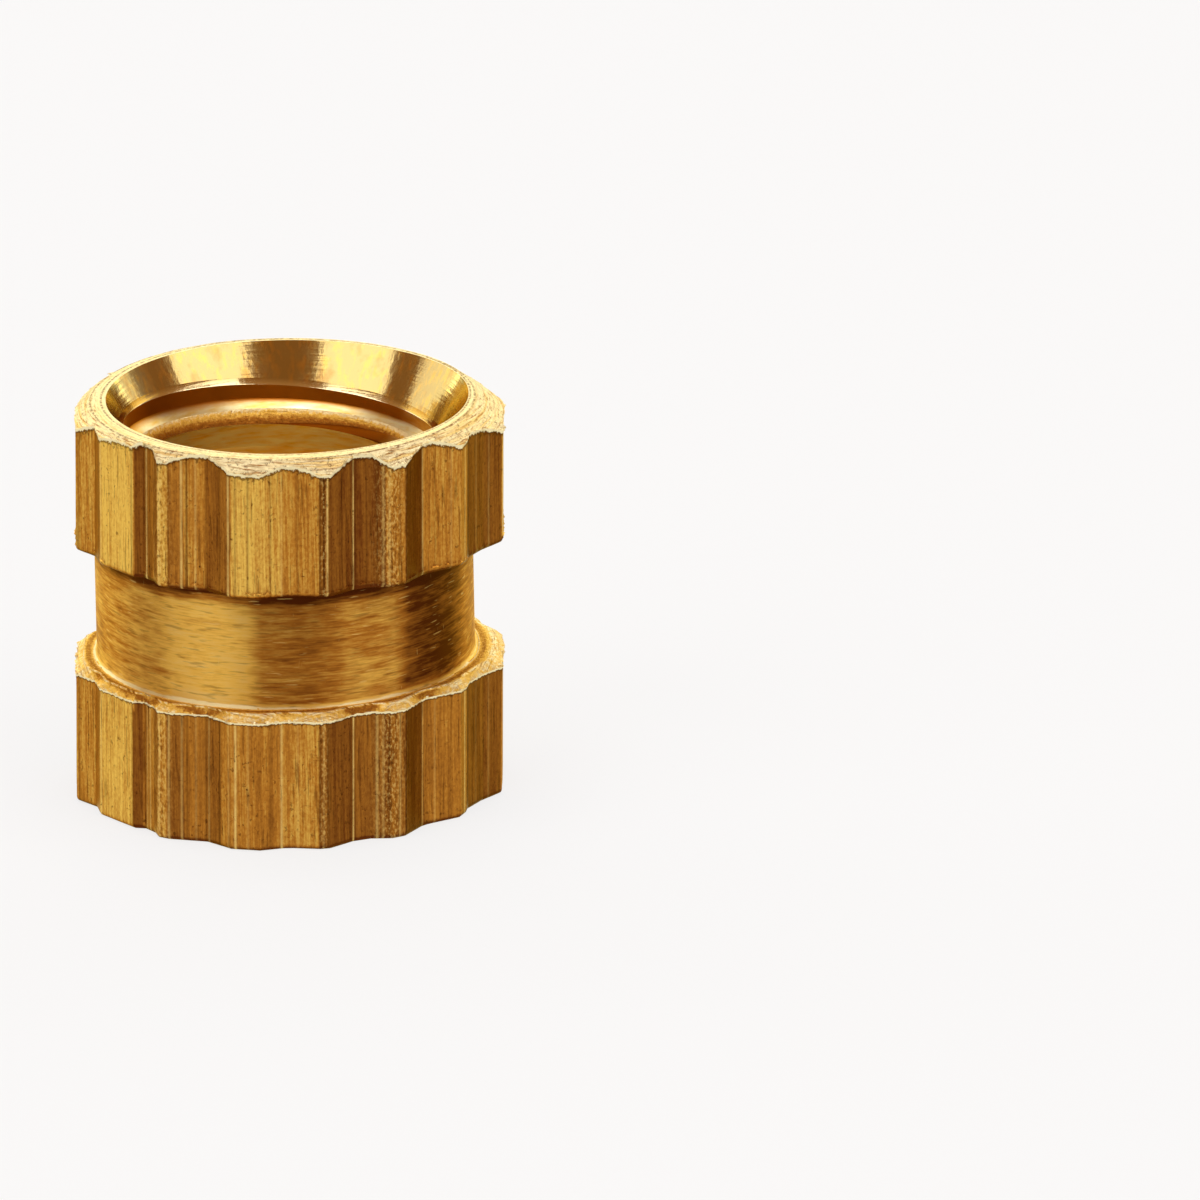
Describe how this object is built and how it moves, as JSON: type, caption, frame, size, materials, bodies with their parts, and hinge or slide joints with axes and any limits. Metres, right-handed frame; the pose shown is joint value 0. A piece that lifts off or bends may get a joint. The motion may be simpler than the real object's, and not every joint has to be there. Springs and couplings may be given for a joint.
{
  "type": "threaded insert",
  "caption": "Short brass insert with straight-knurled bands at both ends, a plain turned waist and a threaded hole right through with countersunk mouths.",
  "frame": {"origin": "centre of the foot face, on the axis of the hole", "axes": "+Z along the hole, from the foot face to the face with the shallow chamfer; X and Y are across the knurl"},
  "size_m": [0.0042, 0.0042, 0.004],
  "materials": {
    "brass": "turned and knurled free-cutting brass, bare"
  },
  "bodies": {
    "root": {"insert_body": "brass"}
  },
  "joints": []
}
